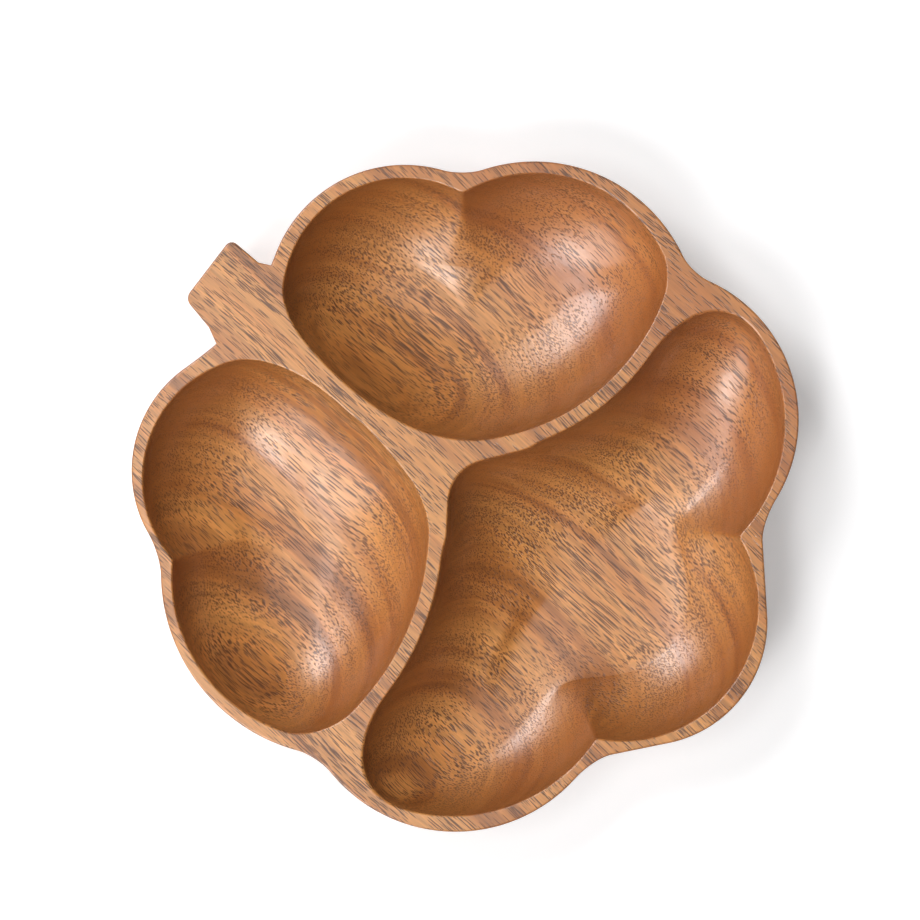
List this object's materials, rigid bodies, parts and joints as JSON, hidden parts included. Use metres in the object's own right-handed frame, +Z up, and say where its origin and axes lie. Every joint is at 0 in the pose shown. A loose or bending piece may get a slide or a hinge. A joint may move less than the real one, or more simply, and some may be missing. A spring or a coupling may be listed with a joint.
{
  "type": "divided leaf tray",
  "caption": "Shallow carved wooden serving tray with a lobed leaf outline, a short square stem and a Y-shaped divider between its wells.",
  "frame": {"origin": "centre of the tray's bounding box, on the table that its base rests on", "axes": "+Z up out of the wells; +Y along the grain towards the stem; +X to the right, seen from above with the stem away from the viewer"},
  "size_m": [0.2884, 0.2994, 0.045],
  "materials": {
    "oiled_acacia": "carved and sanded hardwood with a thin satin food-safe finish, pores left open"
  },
  "bodies": {
    "root": {"left_outer_stave": "oiled_acacia", "left_inner_stave": "oiled_acacia", "stem_stave": "oiled_acacia", "right_inner_stave": "oiled_acacia", "right_outer_stave": "oiled_acacia"}
  },
  "joints": []
}
